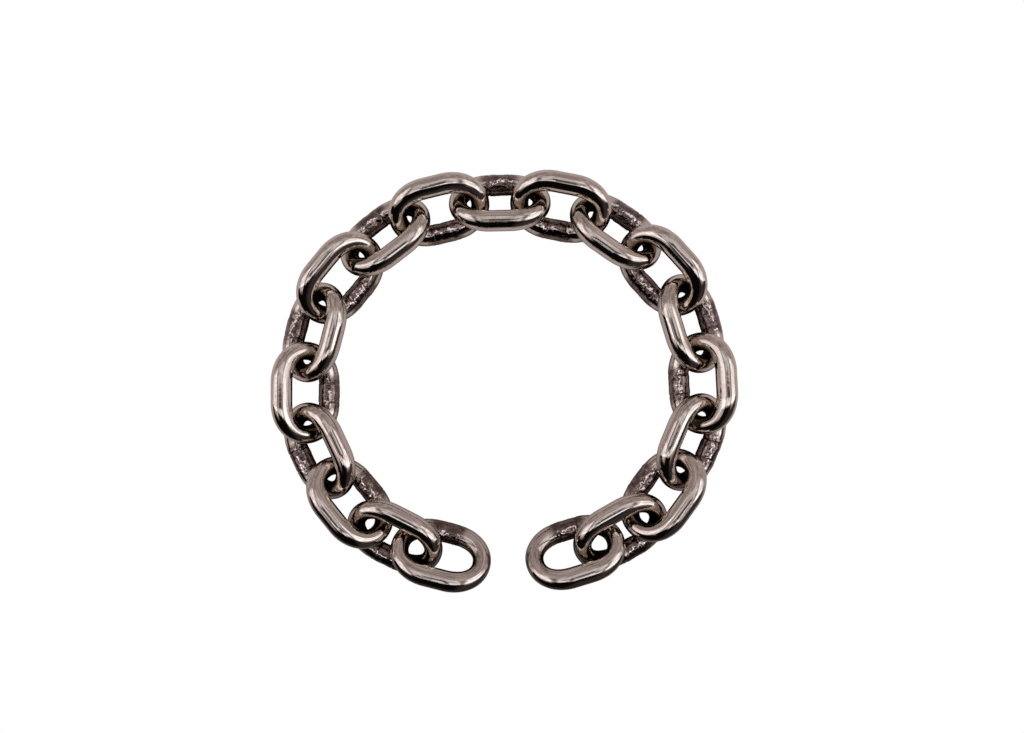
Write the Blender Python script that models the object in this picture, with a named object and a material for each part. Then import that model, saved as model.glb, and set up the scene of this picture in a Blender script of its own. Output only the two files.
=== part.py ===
"""A short length of bright short-link chain, laid flat as an open ring with its two ends apart.

Units are metres, +Z is up and the floor is z = 0. Seen from above, link_01 is the lower left end,
link_10 is at the top, and link_19 is the lower right end. The right half mirrors the left half.
"""
import math

import bpy
from mathutils import Matrix, Vector

# One link, bent from round bar and welded in the middle of one straight side
LINK_LENGTH = 0.0497
LINK_WIDTH = 0.0349
BAR = 0.0101
BOW_BAR = 0.0090
WELD_BAR = 0.0106
WELD_LENGTH = 0.0090
WELD_TAPER = 0.0025

# A side is straight only over the length of the weld, and from there it curves gently into the bow.
# The bow is half a superellipse, a little squarer than an ellipse, whose exponent would be 2
BOW_EXPONENT = 2.13
BOW_RADIUS = 0.0109

# The run. Each link lies on its welded side, and its smooth side leans up on its neighbours. The
# lean eases off with the square of the number of steps from the top link
LINKS = 19
INNER_HIGH_LEAN = math.radians(32.3)
OUTER_HIGH_LEAN = math.radians(39.2)
LEAN_LOSS = math.radians(0.058)

# How the run curls, counted step by step from the top link. Every second turn is sharper than its
# neighbours, and the ring is slightly wider than tall. The last three steps on each side are slack
MEAN_TURN = math.radians(18.85)
TURN_ALTERNATION = math.radians(5.7)
TURN_OVAL = math.radians(0.95)
PITCH = 0.0299
SLACK_PITCHES = {7: 0.0293, 8: 0.0280, 9: 0.0243}

# Tessellation of a link
BOW_STEPS = 12
SECTION_RESOLUTION = 4
SECTION_SIDES = 4 + 2 * SECTION_RESOLUTION

HALF_WIDTH = (LINK_WIDTH - BAR) / 2
HALF_LENGTH = (LINK_LENGTH - BOW_BAR) / 2
HALF_WELD = WELD_LENGTH / 2
BOW_DEPTH = HALF_LENGTH - HALF_WELD
MIDDLE = (LINKS + 1) // 2


def bow_point(end, angle):
    """A centreline point of the bow at one end, with the bar radius there. Angle 0 is its crown."""
    across = abs(math.sin(angle))
    x = end * (HALF_WELD + BOW_DEPTH * math.cos(angle) ** (2 / BOW_EXPONENT))
    y = end * math.copysign(HALF_WIDTH * across ** (2 / BOW_EXPONENT), angle)
    return x, y, (BOW_BAR + (BAR - BOW_BAR) * across ** 3) / 2


def link_stations():
    """Centreline points of one link with the bar radius at each. The welded side runs along -Y."""
    reach = (WELD_TAPER / BOW_DEPTH) ** BOW_EXPONENT
    taper_end = (HALF_WELD + WELD_TAPER, -HALF_WIDTH * (1 - reach) ** (1 / BOW_EXPONENT), BAR / 2)
    weld_end = (HALF_WELD, -HALF_WIDTH, WELD_BAR / 2)
    stations = [(-x, y, radius) for x, y, radius in (taper_end, weld_end)] + [weld_end, taper_end]
    for end in (1, -1):
        for step in range(1, BOW_STEPS):
            stations.append(bow_point(end, math.pi * step / BOW_STEPS - math.pi / 2))
        if end == 1:
            stations += [(HALF_WELD, HALF_WIDTH, BAR / 2), (-HALF_WELD, HALF_WIDTH, BAR / 2)]
    return stations


def link_curve(lean, material):
    """A closed tube. Its section is spun so that one flat of the weld faces the floor at this lean."""
    curve = bpy.data.curves.new("link", 'CURVE')
    curve.dimensions = '3D'
    curve.twist_mode = 'Z_UP'
    curve.bevel_depth = BAR / 2
    curve.bevel_resolution = SECTION_RESOLUTION
    curve.materials.append(material)
    stations = link_stations()
    spline = curve.splines.new('POLY')
    spline.points.add(len(stations) - 1)
    spline.use_cyclic_u = True
    spline.use_smooth = True
    for point, (x, y, radius) in zip(spline.points, stations):
        point.co = (x, y, 0, 1)
        point.radius = radius / (BAR / 2)
        point.tilt = math.pi / SECTION_SIDES - lean
    return curve


def polished_steel():
    """Bright steel, a little warm."""
    material = bpy.data.materials.new("polished_steel")
    material.use_nodes = True
    shader = material.node_tree.nodes["Principled BSDF"]
    shader.inputs["Base Color"].default_value = (0.62, 0.58, 0.56, 1)
    shader.inputs["Metallic"].default_value = 1.0
    shader.inputs["Roughness"].default_value = 0.12
    return material


def lean_of(number):
    """How far the plane of a link is tipped up from the floor."""
    highest = OUTER_HIGH_LEAN if number % 2 else INNER_HIGH_LEAN
    return highest - LEAN_LOSS * (number - MIDDLE) ** 2


def turn_at(step, heading):
    """Turn at one step, where heading is how far the run has turned since the top link."""
    alternation = -TURN_ALTERNATION if step % 2 else TURN_ALTERNATION
    return MEAN_TURN + alternation - TURN_OVAL * math.cos(2 * heading + MEAN_TURN)


def resting_place(number, x, y, heading):
    """World matrix of a link that lies on its weld. Even links have their welded side outermost."""
    lean = lean_of(number)
    height = HALF_WIDTH * math.sin(lean) + WELD_BAR / 2 * math.cos(math.pi / SECTION_SIDES)
    half_turn = 0 if number % 2 else math.pi
    spin = Matrix.Rotation(heading + half_turn, 4, 'Z')
    return Matrix.Translation((x, y, height)) @ spin @ Matrix.Rotation(lean, 4, 'X')


def lay_the_run():
    """World matrix of every link, by number, with the top link over the origin."""
    places = {MIDDLE: resting_place(MIDDLE, 0, 0, 0)}
    for side in (1, -1):
        x = y = heading = 0
        for step in range(1, MIDDLE):
            half = SLACK_PITCHES.get(step, PITCH) / 2
            x += half * math.cos(heading)
            y -= half * math.sin(heading)
            heading += turn_at(step, heading)
            x += half * math.cos(heading)
            y -= half * math.sin(heading)
            number = MIDDLE + side * step
            places[number] = resting_place(number, side * x, y, -side * heading)
    return places


def add(name, data, parent, place):
    """An object in the chain's collection, placed relative to its parent."""
    item = bpy.data.objects.new(name, data)
    item.parent = parent
    item.matrix_basis = place
    chain_parts.objects.link(item)
    return item


for old in list(bpy.data.objects):
    bpy.data.objects.remove(old, do_unlink=True)

chain_parts = bpy.data.collections.new("chain")
bpy.context.scene.collection.children.link(chain_parts)
steel = polished_steel()
curves = [link_curve(lean_of(MIDDLE + step), steel) for step in range(MIDDLE)]

# The top link carries its two neighbours, and so on outwards to the ends. A link swings round the
# bow it hangs on: its pin is at that bow's centre, with its Z axis square to the carrier's plane
places = lay_the_run()
ring = add("ring_centre", None, None, Matrix())
links = {MIDDLE: add(f"link_{MIDDLE:02d}", curves[0], ring, places[MIDDLE])}
for side in (1, -1):
    for step in range(1, MIDDLE):
        number = MIDDLE + side * step
        carrier = number - side
        bow = side if carrier % 2 else -side
        bow_centre = Matrix.Translation((bow * (HALF_LENGTH - BOW_RADIUS), 0, 0))
        pin = add(f"pin_{number:02d}", None, links[carrier], bow_centre)
        pin.empty_display_size = 0.005
        from_pin = (places[carrier] @ bow_centre).inverted() @ places[number]
        links[number] = add(f"link_{number:02d}", curves[step], pin, from_pin)

# The ring's outline is centred on the origin
bpy.context.view_layer.update()
graph = bpy.context.evaluated_depsgraph_get()
corners = []
for link in links.values():
    mesh = link.evaluated_get(graph).to_mesh()
    corners += [link.matrix_world @ vertex.co for vertex in mesh.vertices]
low = Vector(min(corner[axis] for corner in corners) for axis in range(3))
high = Vector(max(corner[axis] for corner in corners) for axis in range(3))
ring.location = (-(low.x + high.x) / 2, -(low.y + high.y) / 2, 0)
bpy.context.view_layer.update()
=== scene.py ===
"""A short length of polished short-link chain, laid on a pale table as an open ring, from above.

Metres, +Z up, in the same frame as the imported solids: the table is z = 0 and the ring is centred on
the origin. Link 1 is the lower left end, link 10 is at the top and link 19 is the lower right end.
"""
import math

import bpy
from mathutils import Matrix


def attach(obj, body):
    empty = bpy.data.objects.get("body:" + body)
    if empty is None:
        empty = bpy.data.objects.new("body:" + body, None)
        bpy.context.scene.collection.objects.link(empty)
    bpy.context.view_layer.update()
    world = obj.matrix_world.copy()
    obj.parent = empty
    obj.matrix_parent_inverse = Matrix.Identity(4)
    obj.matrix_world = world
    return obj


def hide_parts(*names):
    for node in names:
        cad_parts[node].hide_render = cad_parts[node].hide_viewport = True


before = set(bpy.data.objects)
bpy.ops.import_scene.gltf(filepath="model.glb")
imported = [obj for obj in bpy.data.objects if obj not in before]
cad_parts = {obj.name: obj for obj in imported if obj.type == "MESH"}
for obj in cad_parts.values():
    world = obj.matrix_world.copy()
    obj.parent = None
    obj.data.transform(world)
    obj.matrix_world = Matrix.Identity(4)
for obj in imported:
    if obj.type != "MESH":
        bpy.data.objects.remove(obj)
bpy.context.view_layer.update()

# The links. Each is cut from round steel bar, bent hot to a loop whose sides curve gently into its
# two bows, and butt welded in the middle of one side. Then the whole length is tumbled, which
# polishes every face but the weld. That keeps its swelling, its seams and its crinkled skin.
LINK_LENGTH = 0.0496
LINK_WIDTH = 0.0345
BAR = 0.0100
BOW_BAR = 0.0089
BOW_EXPONENT = 2.13
BAR_EASING = 3.0
WELD_BAR = 0.0102
WELD_LENGTH = 0.0090
WELD_TAPER = 0.0025
SKIN_FULL_TO = 0.0060
SKIN_ENDS_AT = 0.0102
CENTRELINE_POINTS = 720
STATIONS = 310
SECTION_POINTS = 56

# Relief of the surface. Fineness is in cells of noise to the metre
WAVE_HEIGHT, WAVE_FINENESS = 0.00010, 120
LUMP_HEIGHT, LUMP_FINENESS = 0.00022, 560
DENT_HEIGHT, DENT_FINENESS = 0.00075, 210
SEAM_DEPTH, SEAM_HALF_WIDTH = 0.00030, 0.0006
SEAM_PAST_WELD, SEAM_WANDER, SEAM_WANDERS_ROUND = 0.0003, 0.0030, 1.6
SEAM_PATCH_FINENESS, SEAM_PATCHES = 300, (0.35, 0.55)
HIGHEST_RELIEF = 0.00020
NOISE_APART = 3.7


def add_node(tree, kind, feeds=(), **settings):
    """Add a node, set its own settings, then feed its inputs with sockets of others or values."""
    made = tree.nodes.new(kind)
    for name, value in settings.items():
        setattr(made, name, value)
    for socket, value in feeds:
        if isinstance(value, bpy.types.NodeSocket):
            tree.links.new(value, made.inputs[socket])
        else:
            made.inputs[socket].default_value = value
    return made


def calculate(tree, operation, *terms):
    """One sum in a node tree."""
    return add_node(tree, "ShaderNodeMath", enumerate(terms), operation=operation).outputs[0]


def parted(tree, vector):
    """The X, Y and Z of a vector."""
    return add_node(tree, "ShaderNodeSeparateXYZ", ((0, vector),)).outputs


def fade(tree, value, none_at, full_at, full=1.0, none=0.0):
    """A smooth step from none to full, as value goes from none_at to full_at."""
    feeds = (("Value", value), ("From Min", none_at), ("From Max", full_at),
             ("To Min", none), ("To Max", full))
    step = add_node(tree, "ShaderNodeMapRange", feeds, interpolation_type='SMOOTHSTEP')
    return step.outputs["Result"]


def noise(tree, place, fineness, detail=2.0, w=None, rough=0.5):
    """Noise about 0.5 at a place, in four dimensions where w is given."""
    feeds = [("Vector", place), ("Scale", fineness), ("Detail", detail), ("Roughness", rough)]
    if w is not None:
        feeds.append(("W", w))
    kind = '3D' if w is None else '4D'
    return add_node(tree, "ShaderNodeTexNoise", feeds, noise_dimensions=kind).outputs["Fac"]


def sway(tree, height, place, fineness, detail=2.0, w=None, rough=0.5):
    """Noise about nought, of a height from its lowest to its highest."""
    centred = calculate(tree, 'SUBTRACT', noise(tree, place, fineness, detail, w, rough), 0.5)
    return calculate(tree, 'MULTIPLY', centred, height)


def keep(tree, shape, name, value, kind='FLOAT_VECTOR'):
    """Store a value on the shape's points, under a name that the steel's nodes read."""
    feeds = (("Geometry", shape), ("Name", name), ("Value", value))
    kept = add_node(tree, "GeometryNodeStoreNamedAttribute", feeds, data_type=kind)
    return kept.outputs["Geometry"]


def link_tree():
    """Nodes that bend and weld one link in its own plane, with its welded side along -Y."""
    tree = bpy.data.node_groups.new("bent_and_welded_link", 'GeometryNodeTree')
    inputs = (
        ("Geometry", 'NodeSocketGeometry', None), ("Link length", 'NodeSocketFloat', LINK_LENGTH),
        ("Link width", 'NodeSocketFloat', LINK_WIDTH), ("Bar", 'NodeSocketFloat', BAR),
        ("Bow bar", 'NodeSocketFloat', BOW_BAR), ("Bow exponent", 'NodeSocketFloat', BOW_EXPONENT),
        ("Weld bar", 'NodeSocketFloat', WELD_BAR), ("Weld length", 'NodeSocketFloat', WELD_LENGTH),
        ("Weld taper", 'NodeSocketFloat', WELD_TAPER), ("Seed", 'NodeSocketFloat', 0.0),
        ("Stations", 'NodeSocketInt', STATIONS), ("Steel", 'NodeSocketMaterial', None),
    )
    for name, kind, value in inputs:
        socket = tree.interface.new_socket(name, in_out='INPUT', socket_type=kind)
        if value is not None:
            socket.default_value = value
    tree.interface.new_socket("Geometry", in_out='OUTPUT', socket_type='NodeSocketGeometry')
    given = tree.nodes.new("NodeGroupInput").outputs

    def vector_sum(operation, *feeds):
        return add_node(tree, "ShaderNodeVectorMath", feeds, operation=operation).outputs

    def stored(name, kind):
        feeds = (("Name", name),)
        return add_node(tree, "GeometryNodeInputNamedAttribute", feeds, data_type=kind).outputs[0]

    # Centreline: a circle pulled out to two bows, each half a superellipse, and the straight of the
    # weld between them. A point's place is a field, read anew by each node that it reaches
    weld_half = calculate(tree, 'DIVIDE', given["Weld length"], 2.0)
    half_width = calculate(tree, 'SUBTRACT', given["Link width"], given["Bar"])
    half_width = calculate(tree, 'DIVIDE', half_width, 2.0)
    half_length = calculate(tree, 'SUBTRACT', given["Link length"], given["Bow bar"])
    half_length = calculate(tree, 'DIVIDE', half_length, 2.0)
    bow_depth = calculate(tree, 'SUBTRACT', half_length, weld_half)
    place = tree.nodes.new("GeometryNodeInputPosition").outputs[0]
    point = parted(tree, place)
    off_centre, off_axis = (calculate(tree, 'ABSOLUTE', point[axis]) for axis in "XY")
    east, north = (calculate(tree, 'SIGN', point[axis]) for axis in "XY")
    power = calculate(tree, 'DIVIDE', 2.0, given["Bow exponent"])
    along = calculate(tree, 'POWER', off_centre, power)
    along = calculate(tree, 'MULTIPLY_ADD', along, bow_depth, weld_half)
    aside = calculate(tree, 'POWER', off_axis, power)
    aside = calculate(tree, 'MULTIPLY', aside, half_width)
    feeds = ((0, calculate(tree, 'MULTIPLY', along, east)),
             (1, calculate(tree, 'MULTIPLY', aside, north)))
    pulled = add_node(tree, "ShaderNodeCombineXYZ", feeds).outputs[0]
    feeds = (("Resolution", CENTRELINE_POINTS), ("Radius", 1.0))
    loop = add_node(tree, "GeometryNodeCurvePrimitiveCircle", feeds).outputs[0]
    feeds = (("Geometry", loop), ("Position", pulled))
    loop = add_node(tree, "GeometryNodeSetPosition", feeds).outputs[0]
    feeds = (("Curve", loop), ("Count", given["Stations"]))
    loop = add_node(tree, "GeometryNodeResampleCurve", feeds).outputs[0]
    loop = add_node(tree, "GeometryNodeSetCurveNormal", (("Curve", loop),), mode='Z_UP').outputs[0]

    # Bar: thinner round the bows, swollen at the weld
    share = calculate(tree, 'DIVIDE', off_axis, half_width)
    share = calculate(tree, 'POWER', share, BAR_EASING)
    bar = calculate(tree, 'SUBTRACT', given["Bar"], given["Bow bar"])
    bar = calculate(tree, 'MULTIPLY_ADD', bar, share, given["Bow bar"])
    welded_side = calculate(tree, 'LESS_THAN', point["Y"], 0.0)
    weld_end = calculate(tree, 'ADD', weld_half, given["Weld taper"])
    weld = calculate(tree, 'MULTIPLY', fade(tree, off_centre, weld_end, weld_half), welded_side)
    swelling = calculate(tree, 'SUBTRACT', given["Weld bar"], given["Bar"])
    bar = calculate(tree, 'MULTIPLY_ADD', swelling, weld, bar)
    skin = fade(tree, off_centre, SKIN_ENDS_AT, SKIN_FULL_TO)
    skin = calculate(tree, 'MULTIPLY', skin, welded_side)
    loop = keep(tree, loop, "core", place)
    loop = keep(tree, loop, "skin", skin, 'FLOAT')
    loop = keep(tree, loop, "bar", bar, 'FLOAT')

    # Section: a circle, whose points remember where round the bar they are
    feeds = (("Resolution", SECTION_POINTS), ("Radius", 0.5))
    circle = add_node(tree, "GeometryNodeCurvePrimitiveCircle", feeds).outputs[0]
    circle = keep(tree, circle, "section", vector_sum('SCALE', (0, place), ("Scale", 2.0))[0])
    feeds = (("Curve", loop), ("Profile Curve", circle), ("Scale", stored("bar", 'FLOAT')))
    solid = add_node(tree, "GeometryNodeCurveToMesh", feeds).outputs["Mesh"]

    # Relief, along the surface's own normal: faint waves all over, and the weld's lumps and seams
    skin = stored("skin", 'FLOAT')
    section = stored("section", 'FLOAT_VECTOR')
    seed = calculate(tree, 'MULTIPLY', given["Seed"], NOISE_APART)
    waves = sway(tree, WAVE_HEIGHT, place, WAVE_FINENESS, 1.0, seed)
    lumps = sway(tree, LUMP_HEIGHT, place, LUMP_FINENESS, 3.0, seed)
    dents = sway(tree, DENT_HEIGHT, place, DENT_FINENESS, 1.0, seed)
    wander = sway(tree, SEAM_WANDER, section, SEAM_WANDERS_ROUND, 2.0, seed)
    seam_at = calculate(tree, 'ADD', wander, calculate(tree, 'ADD', weld_half, SEAM_PAST_WELD))
    from_seam = calculate(tree, 'ABSOLUTE', calculate(tree, 'SUBTRACT', off_centre, seam_at))
    seam = fade(tree, from_seam, SEAM_HALF_WIDTH, 0.0)
    patches = fade(tree, noise(tree, place, SEAM_PATCH_FINENESS, 1.0, seed), *SEAM_PATCHES)
    seam = calculate(tree, 'MULTIPLY', calculate(tree, 'MULTIPLY', seam, patches), skin)
    lumps = calculate(tree, 'ADD', lumps, dents)
    relief = calculate(tree, 'MULTIPLY_ADD', seam, -SEAM_DEPTH, lumps)
    relief = calculate(tree, 'MULTIPLY_ADD', relief, skin, waves)
    relief = calculate(tree, 'MINIMUM', relief, HIGHEST_RELIEF)
    normal = tree.nodes.new("GeometryNodeInputNormal").outputs["Normal"]
    raised = vector_sum('SCALE', (0, normal), ("Scale", relief))[0]
    feeds = (("Geometry", solid), ("Offset", raised))
    solid = add_node(tree, "GeometryNodeSetPosition", feeds).outputs[0]

    # What else the steel's nodes ask: does a face look in to the link's middle, and is it a seam
    outward = vector_sum('NORMALIZE', (0, stored("core", 'FLOAT_VECTOR')))[0]
    looks_out = vector_sum('DOT_PRODUCT', (0, normal), (1, outward))["Value"]
    solid = keep(tree, solid, "inner", calculate(tree, 'MULTIPLY', looks_out, -1.0), 'FLOAT')
    solid = keep(tree, solid, "seam", seam, 'FLOAT')
    solid = add_node(tree, "GeometryNodeSetShadeSmooth", (("Geometry", solid),)).outputs[0]
    solid = add_node(tree, "GeometryNodeRealizeInstances", (("Geometry", solid),)).outputs[0]
    feeds = (("Geometry", solid), ("Material", given["Steel"]))
    solid = add_node(tree, "GeometryNodeSetMaterial", feeds).outputs[0]
    tree.links.new(solid, tree.nodes.new("NodeGroupOutput").inputs[0])
    return tree


# Colours of the steel and its weld, then how fine and how deep their marks are
POLISHED = (0.71, 0.625, 0.545, 1)
DRAWN = (0.53, 0.46, 0.395, 1)
HEATED = (0.30, 0.235, 0.185, 1)
THIN_OXIDE = (0.27, 0.20, 0.178, 1)
THICK_OXIDE = (0.13, 0.093, 0.080, 1)
# Trimmed flash, brightened to a painted highlight along the weld's shoulder
FLASH_AND_PAINTED_HIGHLIGHT = (0.98, 0.87, 0.80, 1)
CRACK = (0.07, 0.05, 0.04, 1)
# Painted shade inside the bows, where a neighbouring link sits close
PAINTED_NOOK_SHADE = (0.27, 0.22, 0.165, 1)
LINES_ROUND, LINES_ALONG = 7.0, 22.0
SCRATCHES_ROUND, SCRATCHES_ALONG = 14.0, 110.0
MOTTLE_FINENESS, BREAKUP, OXIDE_FINENESS = 700, 1.2, 300
FLASH_HIGHLIGHT_LOOKS_IN, FLASH_HIGHLIGHT_WANDER, FLASH_HIGHLIGHT_FINENESS, FLASH_HIGHLIGHT_GAP_FINENESS = 0.46, 1.3, 330, 240
HEATED_SHARE, CRACK_SHARE = 0.80, 0.95
RIPPLE_FINENESS, PIT_FINENESS, WORM_FINENESS, WORM_HEIGHT = 650, 260, 210, 0.06
LINE_DEPTH, RIPPLE_DEPTH, PIT_DEPTH = 0.00007, 0.00002, 0.00045
NOOK_STARTS, NOOK_FULL, NOOK_SHARE = 0.0105, 0.0165, 0.85
SMOOTHEST, ROUGHEST = 0.02, 0.05
SKIN_SMOOTHEST, SKIN_ROUGHEST = 0.03, 0.06

# Where each of these is gone and where it is full, on the scale of the noise or measure behind it
SCRATCHED, HEAT_BROWNED, OXIDE_SKIN = (0.38, 0.64), (0.0, 0.45), (0.42, 0.92)
OXIDE_THICK, FLASH_HIGHLIGHT_WIDTH, FLASH_HIGHLIGHT_UNBROKEN = (0.62, 0.42), (0.11, 0.04), (0.34, 0.45)
LOOKS_IN, WORM_WIDTH = (0.0, 0.8), (0.030, 0.0)
ROUGHENED, SKIN_ROUGHENED = (0.2, 0.8), (0.3, 0.7)


def mixed(tree, share, first, second):
    """A colour that goes from the first to the second as share goes from 0 to 1."""
    feeds = ((0, share), (6, first), (7, second))
    return add_node(tree, "ShaderNodeMix", feeds, data_type='RGBA').outputs[2]


def tumbled_steel():
    """Mirror polish with faint lines along the bar, painted shade in the bows, and the weld's plum
    oxide and trimmed flash with a painted highlight.
    """
    steel = bpy.data.materials.new("polished_steel")
    steel.use_nodes = True
    tree = steel.node_tree
    shader = tree.nodes["Principled BSDF"]
    shader.inputs["Metallic"].default_value = 1.0

    def stored(name):
        return add_node(tree, "ShaderNodeAttribute", attribute_name=name).outputs

    section = parted(tree, stored("section")["Vector"])
    core = parted(tree, stored("core")["Vector"])
    skin = stored("skin")["Fac"]
    inward = stored("inner")["Fac"]
    here = tree.nodes.new("ShaderNodeTexCoord").outputs["Object"]

    # Lines of the drawn bar: fine across the bar, long along it
    def drawn_lines(round_bar, along_bar, rough):
        x, y = (calculate(tree, 'MULTIPLY', section[axis], round_bar) for axis in "XY")
        z, w = (calculate(tree, 'MULTIPLY', core[axis], along_bar) for axis in "XY")
        grain = add_node(tree, "ShaderNodeCombineXYZ", ((0, x), (1, y), (2, z))).outputs[0]
        return noise(tree, grain, 1.0, w=w, rough=rough)

    lines = drawn_lines(LINES_ROUND, LINES_ALONG, 0.6)
    scratches = drawn_lines(SCRATCHES_ROUND, SCRATCHES_ALONG, 0.5)

    # Polished steel, which the heat has browned close to the weld
    mottle = noise(tree, here, MOTTLE_FINENESS, 3.0, rough=0.6)
    breakup = calculate(tree, 'SUBTRACT', mottle, 0.5)
    breakup = calculate(tree, 'MULTIPLY_ADD', breakup, BREAKUP, skin)
    bright = mixed(tree, fade(tree, scratches, *SCRATCHED), POLISHED, DRAWN)
    bright = mixed(tree, fade(tree, breakup, *HEAT_BROWNED, HEATED_SHARE), bright, HEATED)

    # Weld skin: dark plum oxide, thinner in places. A broken bright line runs along its shoulder
    # towards the hole: trimmed flash, with a painted highlight where the highlight falls at rest.
    oxide = fade(tree, noise(tree, here, OXIDE_FINENESS, 4.0, rough=0.65), *OXIDE_THICK)
    plum = mixed(tree, oxide, THIN_OXIDE, THICK_OXIDE)
    wander = sway(tree, FLASH_HIGHLIGHT_WANDER, here, FLASH_HIGHLIGHT_FINENESS, rough=0.6)
    off_flash_highlight = calculate(tree, 'SUBTRACT', inward, FLASH_HIGHLIGHT_LOOKS_IN)
    off_flash_highlight = calculate(tree, 'ABSOLUTE', calculate(tree, 'SUBTRACT', off_flash_highlight, wander))
    flash_highlight = fade(tree, off_flash_highlight, *FLASH_HIGHLIGHT_WIDTH)
    unbroken = fade(tree, noise(tree, here, FLASH_HIGHLIGHT_GAP_FINENESS, 1.0), *FLASH_HIGHLIGHT_UNBROKEN)
    plum = mixed(tree, calculate(tree, 'MULTIPLY', flash_highlight, unbroken), plum, FLASH_AND_PAINTED_HIGHLIGHT)
    dull = fade(tree, breakup, *OXIDE_SKIN)
    colour = mixed(tree, dull, bright, plum)
    cracks = calculate(tree, 'MULTIPLY', stored("seam")["Fac"], CRACK_SHARE)
    colour = mixed(tree, cracks, colour, CRACK)

    # Painted shade inside the bows, where a neighbouring link sits close: the steel's colour is
    # darkened there
    in_bow = calculate(tree, 'ABSOLUTE', core["X"])
    in_bow = fade(tree, in_bow, NOOK_STARTS, NOOK_FULL, NOOK_SHARE)
    painted_nook_shade = calculate(tree, 'MULTIPLY', fade(tree, inward, *LOOKS_IN), in_bow)
    colour = mixed(tree, painted_nook_shade, colour, PAINTED_NOOK_SHADE)
    tree.links.new(colour, shader.inputs["Base Color"])
    gloss = fade(tree, lines, *ROUGHENED, ROUGHEST, SMOOTHEST)
    matt = fade(tree, mottle, *SKIN_ROUGHENED, SKIN_ROUGHEST, SKIN_SMOOTHEST)
    gloss = add_node(tree, "ShaderNodeMix", ((0, dull), (2, gloss), (3, matt))).outputs[0]
    tree.links.new(gloss, shader.inputs["Roughness"])

    # Faint ripples left by the polishing, and on the weld its crinkles
    ripples = noise(tree, here, RIPPLE_FINENESS)
    worms = calculate(tree, 'SUBTRACT', noise(tree, here, WORM_FINENESS, 3.0, rough=0.55), 0.5)
    worms = fade(tree, calculate(tree, 'ABSOLUTE', worms), *WORM_WIDTH)
    pits = noise(tree, here, PIT_FINENESS, rough=0.45)
    pits = calculate(tree, 'MULTIPLY_ADD', worms, WORM_HEIGHT, pits)
    surface = None
    for height, strength, depth in (
            (lines, 1.0, LINE_DEPTH), (ripples, 1.0, RIPPLE_DEPTH), (pits, skin, PIT_DEPTH)):
        feeds = [("Height", height), ("Strength", strength), ("Distance", depth)]
        if surface is not None:
            feeds.append(("Normal", surface))
        surface = add_node(tree, "ShaderNodeBump", feeds).outputs[0]
    tree.links.new(surface, shader.inputs["Normal"])
    return steel


# The run: two leans that ease off from the top link, an alternating turn, and slack at both ends
MIDDLE = 10
INNER_HIGH_LEAN = math.radians(32.3)
OUTER_HIGH_LEAN = math.radians(39.2)
LEAN_LOSS = math.radians(0.058)
MEAN_TURN = math.radians(18.85)
TURN_ALTERNATION = math.radians(5.7)
TURN_OVAL = math.radians(0.95)
PITCH = 0.0299
SLACK_PITCHES = {7: 0.0293, 8: 0.0280, 9: 0.0243}
TOP_LINK_Y = 0.0860401
SOLID_WELD_BAR = 0.0106
SOLID_SECTION_SIDES = 12
WELD_ABOVE_TABLE = SOLID_WELD_BAR / 2 * math.cos(math.pi / SOLID_SECTION_SIDES)


def lean_of(number):
    """How far the plane of a link is tipped up from the table."""
    highest = OUTER_HIGH_LEAN if number % 2 else INNER_HIGH_LEAN
    return highest - LEAN_LOSS * (number - MIDDLE) ** 2


def resting_place(number, x, y, heading):
    """World matrix of a link that lies on its weld. Even links have their welded side outermost."""
    lean = lean_of(number)
    height = (LINK_WIDTH - BAR) / 2 * math.sin(lean) + WELD_ABOVE_TABLE
    half_turn = 0 if number % 2 else math.pi
    spin = Matrix.Rotation(heading + half_turn, 4, 'Z')
    laid_at = Matrix.Translation((x, y + TOP_LINK_Y, height))
    return laid_at @ spin @ Matrix.Rotation(lean, 4, 'X')


def lay_the_run():
    """World matrix of every link, by number, counted outwards from the top link."""
    laid = {MIDDLE: resting_place(MIDDLE, 0, 0, 0)}
    for side in (1, -1):
        x = y = heading = 0
        for step in range(1, MIDDLE):
            half = SLACK_PITCHES.get(step, PITCH) / 2
            x += half * math.cos(heading)
            y -= half * math.sin(heading)
            alternation = -TURN_ALTERNATION if step % 2 else TURN_ALTERNATION
            heading += MEAN_TURN + alternation - TURN_OVAL * math.cos(2 * heading + MEAN_TURN)
            x += half * math.cos(heading)
            y -= half * math.sin(heading)
            number = MIDDLE + side * step
            laid[number] = resting_place(number, side * x, y, -side * heading)
    return laid


def make_link(number, place, tree, steel):
    """One link as a plain mesh in its place, with a worn flat where its weld bears on the table."""
    maker = bpy.data.objects.new("link_maker", bpy.data.meshes.new("link_maker"))
    bpy.context.scene.collection.objects.link(maker)
    modifier = maker.modifiers.new("bend", 'NODES')
    modifier.node_group = tree
    sockets = tree.interface.items_tree
    socket = {item.name: item.identifier for item in sockets if item.in_out == 'INPUT'}
    modifier[socket["Seed"]] = float(number)
    modifier[socket["Steel"]] = steel
    graph = bpy.context.evaluated_depsgraph_get()
    mesh = bpy.data.meshes.new_from_object(maker.evaluated_get(graph))
    bpy.data.objects.remove(maker)
    mesh.transform(place)
    for vertex in mesh.vertices:
        vertex.co.z = max(vertex.co.z, 0.0)
    mesh.name = f"polished_link_{number:02d}"
    link = bpy.data.objects.new(mesh.name, mesh)
    bpy.context.scene.collection.objects.link(link)
    return link


bend_and_weld = link_tree()
steel = tumbled_steel()
for number, place in sorted(lay_the_run().items()):
    link = make_link(number, place, bend_and_weld, steel)
    node = f"link_{number:02d}"
    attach(link, node)
    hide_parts(node)

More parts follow.
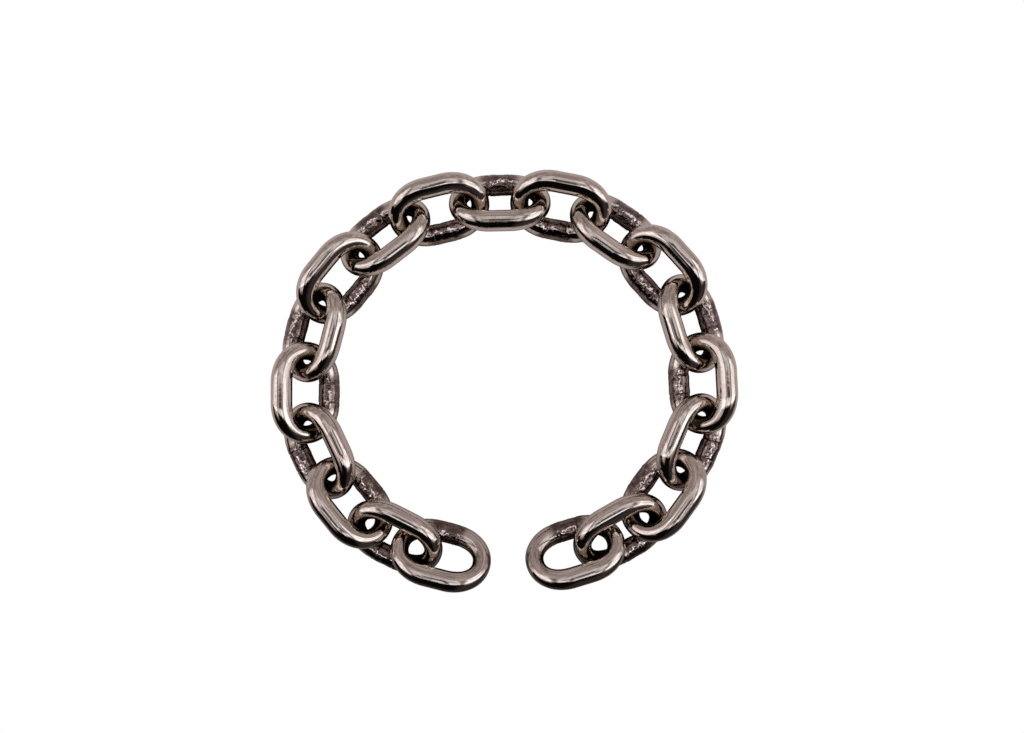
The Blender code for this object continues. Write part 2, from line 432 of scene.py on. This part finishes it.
# The table: a plain pale sheet, far wider than the ring. Only the steel and its shadows see it. The
# camera, and all that looks up from below, sees through it, so links swung under it stay in sight.
# In the steel it is darker towards its near part, and painted shade darkens it under the links.
TABLE_HALF = 3.0
TABLE_IN_LIGHT = (0.10, 0.10, 0.10, 1)
TABLE_IN_STEEL = (0.36, 0.33, 0.33, 1)
UNLIT = (0.0, 0.0, 0.0, 1)
NEAR_PART_Y, NEAR_PART_SHARE = -0.16, 0.05
NOOK_REACH, OPEN_TO_LIGHT = 0.03, (0.2, 0.95)
table_mesh = bpy.data.meshes.new("table_top")
corners = [(x * TABLE_HALF, y * TABLE_HALF, 0) for x, y in ((-1, -1), (1, -1), (1, 1), (-1, 1))]
table_mesh.from_pydata(corners, [], [(0, 1, 2, 3)])
table = bpy.data.objects.new("table_top", table_mesh)
bpy.context.scene.collection.objects.link(table)
pale = bpy.data.materials.new("pale_table")
pale.use_nodes = True
sheet = pale.node_tree
paper = sheet.nodes["Principled BSDF"]
paper.inputs["Roughness"].default_value = 0.9
paper.inputs["Specular IOR Level"].default_value = 0.0
ray = sheet.nodes.new("ShaderNodeLightPath").outputs
spot = parted(sheet, sheet.nodes.new("ShaderNodeTexCoord").outputs["Object"])
feeds = (("Distance", NOOK_REACH),)
open_sky = add_node(sheet, "ShaderNodeAmbientOcclusion", feeds, samples=6).outputs["AO"]
# Painted shade: in the steel the table is darker under the links, where ambient occlusion finds them
painted_light_share = calculate(sheet, 'MULTIPLY', fade(sheet, spot["Y"], NEAR_PART_Y, 0.0, 1.0, NEAR_PART_SHARE),
                fade(sheet, open_sky, *OPEN_TO_LIGHT))
in_steel = mixed(sheet, painted_light_share, UNLIT, TABLE_IN_STEEL)
tint = mixed(sheet, ray["Is Glossy Ray"], TABLE_IN_LIGHT, in_steel)
sheet.links.new(tint, paper.inputs["Base Color"])
from_below = sheet.nodes.new("ShaderNodeNewGeometry").outputs["Backfacing"]
clear = calculate(sheet, 'MAXIMUM', ray["Is Camera Ray"], from_below)
glass = sheet.nodes.new("ShaderNodeBsdfTransparent").outputs[0]
surface = add_node(sheet, "ShaderNodeMixShader", ((0, clear), (1, paper.outputs[0]), (2, glass)))
sheet.links.new(surface.outputs[0], sheet.nodes["Material Output"].inputs["Surface"])
table_mesh.materials.append(pale)

# The studio: a tent of pale cloth round the ring, open to a dark room below the picture's lower
# edge. Its roof is brighter than its far wall, and two lit panels stand left and right. Dark seams
# part them.
ROOF_LEVEL, NEAR_ROOF_LEVEL = 0.77, 1.62
WALL_DARK, WALL_LIGHT, WALL_FINENESS = 0.32, 0.50, 3.6
FOLD_DARK, FOLD_LIGHT, FOLD_FINENESS = 0.65, 1.35, 7.0
WALL_PATCHES, FOLDED, COOLS_WHERE_BRIGHT = (0.36, 0.64), (0.25, 0.75), (0.5, 0.9)
PANEL_LEVEL = 0.70
SEAM_SHADE, SIDE_SEAM_LEVEL = -0.85, 0.35
WEST_ROOM_LEVEL, EAST_ROOM_LEVEL = 0.004, 0.045

# Angles in degrees from straight up, towards +X, east, or +Y, north. Of each pair, the first is
# where a thing is gone and the second where it is full
ROOF_MEETS_WALL, NEAR_ROOF = (40, 24), (-7, -11)
TENT_EDGE, EDGE_SLOPE = (-23, -18), 0.10
SEAMS_CROSS_NORTH = -3.5
CROSSBAR_WIDTH, CROSSBAR_REACH = (6.0, 3.5), (20, 12)
UPRIGHT_WIDTH, UPRIGHT_REACH = (5, 2), (14, 9)
SIDE_SEAM_EAST, SIDE_SEAM_WIDTH, SIDE_SEAM_TOP = 26, (1.5, 6.0), (20, 30)
PANEL_INNER_EDGE, PANEL_OUTER_EDGE, PANEL_REACH = (30, 37), (72, 60), (42, 22)
ROOM_BRIGHTENS_EAST = (5, 50)
WARM_CLOTH = (1.0, 0.87, 0.89, 1)
COOL_CLOTH = (0.96, 0.99, 1.09, 1)
WHITE = (1.0, 1.0, 1.0, 1)
soft_sky = bpy.data.lights.new("soft_overhead", 'SUN')
soft_sky.energy = 3.4
soft_sky.angle = math.radians(100)
soft_sky_lamp = bpy.data.objects.new("soft_overhead", soft_sky)
soft_sky_lamp.visible_glossy = False
soft_sky_lamp.rotation_euler = (math.radians(-12), 0, 0)
bpy.context.scene.collection.objects.link(soft_sky_lamp)

room = bpy.data.worlds.new("studio_room")
room.use_nodes = True
bpy.context.scene.world = room
sky = room.node_tree
background = sky.nodes["Background"]
toward = sky.nodes.new("ShaderNodeTexCoord").outputs["Generated"]
axes = parted(sky, toward)


def lean_towards(axis):
    """How far a direction leans from straight up towards an axis, in degrees."""
    angle = calculate(sky, 'ARCTAN2', axes[axis], axes["Z"])
    return calculate(sky, 'MULTIPLY', angle, 180 / math.pi)


def off(value, middle):
    """How far a value is from the middle, to either side."""
    return calculate(sky, 'ABSOLUTE', calculate(sky, 'SUBTRACT', value, middle))


east, north = (lean_towards(axis) for axis in "XY")
sideways = off(east, 0)

# Far wall and roof, down to the tent's lower edge, which slopes a little
wall = noise(sky, toward, WALL_FINENESS, 3.0, rough=0.55)
wall = fade(sky, wall, *WALL_PATCHES, WALL_LIGHT, WALL_DARK)
roof = fade(sky, north, *ROOF_MEETS_WALL, ROOF_LEVEL, wall)
roof = calculate(sky, 'MULTIPLY', roof, fade(sky, north, *NEAR_ROOF, NEAR_ROOF_LEVEL, 1.0))
sloping = calculate(sky, 'MULTIPLY_ADD', east, EDGE_SLOPE, north)
roof = calculate(sky, 'MULTIPLY', roof, fade(sky, sloping, *TENT_EDGE))

# Dark seams: a cross in the roof, and one upright on each side that ends at the far wall
off_cross = off(north, SEAMS_CROSS_NORTH)
crossbar = calculate(sky, 'MULTIPLY', fade(sky, off_cross, *CROSSBAR_WIDTH),
                     fade(sky, sideways, *CROSSBAR_REACH))
upright = calculate(sky, 'MULTIPLY', fade(sky, off_cross, *UPRIGHT_REACH),
                    fade(sky, sideways, *UPRIGHT_WIDTH))
cross = calculate(sky, 'MAXIMUM', crossbar, upright)
cross = calculate(sky, 'MULTIPLY_ADD', cross, SEAM_SHADE, 1.0)
side_seam = off(sideways, SIDE_SEAM_EAST)
side_seam = fade(sky, side_seam, *SIDE_SEAM_WIDTH, 1.0, SIDE_SEAM_LEVEL)
side_seam = calculate(sky, 'MAXIMUM', side_seam, fade(sky, north, *SIDE_SEAM_TOP))

# Folds in the cloth, the two lit panels, and a little light in the room, more of it to the east
folds = noise(sky, toward, FOLD_FINENESS, 4.0, rough=0.6)
folds = fade(sky, folds, *FOLDED, FOLD_LIGHT, FOLD_DARK)
cloth = calculate(sky, 'MULTIPLY', roof, calculate(sky, 'MULTIPLY', cross, side_seam))
cloth = calculate(sky, 'MULTIPLY', cloth, folds)
panels = calculate(sky, 'MULTIPLY', fade(sky, sideways, *PANEL_INNER_EDGE),
                   fade(sky, sideways, *PANEL_OUTER_EDGE))
panels = calculate(sky, 'MULTIPLY', panels, fade(sky, off(north, 0), *PANEL_REACH))
panels = calculate(sky, 'MULTIPLY', panels, folds)
level = calculate(sky, 'MULTIPLY_ADD', panels, PANEL_LEVEL, cloth)
room_light = fade(sky, east, *ROOM_BRIGHTENS_EAST, EAST_ROOM_LEVEL, WEST_ROOM_LEVEL)
level = calculate(sky, 'ADD', level, room_light)
tone = mixed(sky, fade(sky, cloth, *COOLS_WHERE_BRIGHT), WARM_CLOTH, COOL_CLOTH)

# To the camera the room is plain white
seen = sky.nodes.new("ShaderNodeLightPath").outputs["Is Camera Ray"]
tone = mixed(sky, seen, tone, WHITE)
level = add_node(sky, "ShaderNodeMix", ((0, seen), (2, level), (3, 1.0))).outputs[0]
sky.links.new(tone, background.inputs["Color"])
sky.links.new(level, background.inputs["Strength"])
bpy.context.scene.view_settings.view_transform = 'Standard'

# The camera: nearly straight above the ring, turned a little, as the picture was taken. Its lens
# and its shift off the picture's middle were fitted on all 19 links, in the picture's pixels.
CAMERA_PLACE = (-0.0003, -0.0145, 0.390)
CAMERA_TURN = math.radians(-1.35)
SENSOR_WIDTH = 36.0
FOCAL_IN_PIXELS = 776.5
PICTURE_WIDTH = 1024
OFF_AXIS = (8, 42.5)
camera_data = bpy.data.cameras.new("camera")
camera_data.sensor_width = SENSOR_WIDTH
camera_data.lens = SENSOR_WIDTH * FOCAL_IN_PIXELS / PICTURE_WIDTH
camera_data.shift_x, camera_data.shift_y = (pixels / PICTURE_WIDTH for pixels in OFF_AXIS)
camera_data.clip_start = 0.01
camera = bpy.data.objects.new("camera", camera_data)
camera.location = CAMERA_PLACE
camera.rotation_euler = (0, 0, CAMERA_TURN)
bpy.context.scene.collection.objects.link(camera)
bpy.context.scene.camera = camera
